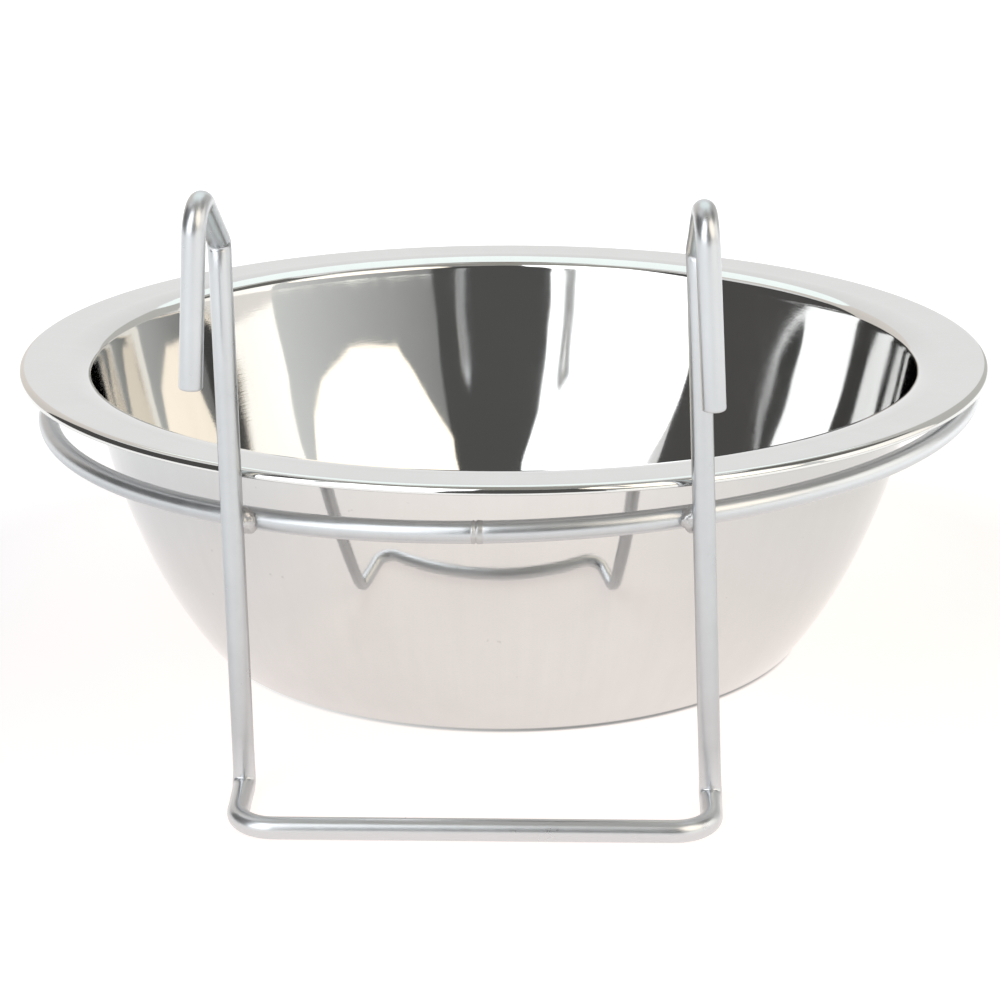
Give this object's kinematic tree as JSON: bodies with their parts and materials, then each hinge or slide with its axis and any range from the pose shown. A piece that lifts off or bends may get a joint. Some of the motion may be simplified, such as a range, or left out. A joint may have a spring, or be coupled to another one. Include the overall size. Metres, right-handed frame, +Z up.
{
  "type": "hook-on pet feeding bowl",
  "caption": "Wide-rimmed stainless steel feeding bowl standing in a bent-wire hanger with a support ring, open hooks for a crate wall and a forward foot bar.",
  "frame": {"origin": "centre of the bowl's flat base, on the surface it stands on", "axes": "+Z up along the bowl's axis; the hanger's hooks and foot bar face -Y"},
  "size_m": [0.2, 0.2201, 0.1135],
  "materials": {
    "polished_steel": "mirror-polished stainless steel",
    "satin_wire": "satin silver coated steel wire",
    "weld_metal": "dull weld bead under the same silver coat"
  },
  "bodies": {
    "hanger": {"hanger_wire": "satin_wire", "support_ring": "satin_wire", "weld_left": "weld_metal", "weld_right": "weld_metal", "ring_seam_weld": "weld_metal"},
    "bowl": {"bowl": "polished_steel"}
  },
  "joints": [
    {"name": "bowl_lift", "type": "slide", "parent": "hanger", "child": "bowl", "axis": [0, 0, 1], "range_m": [0, 0.13]}
  ]
}
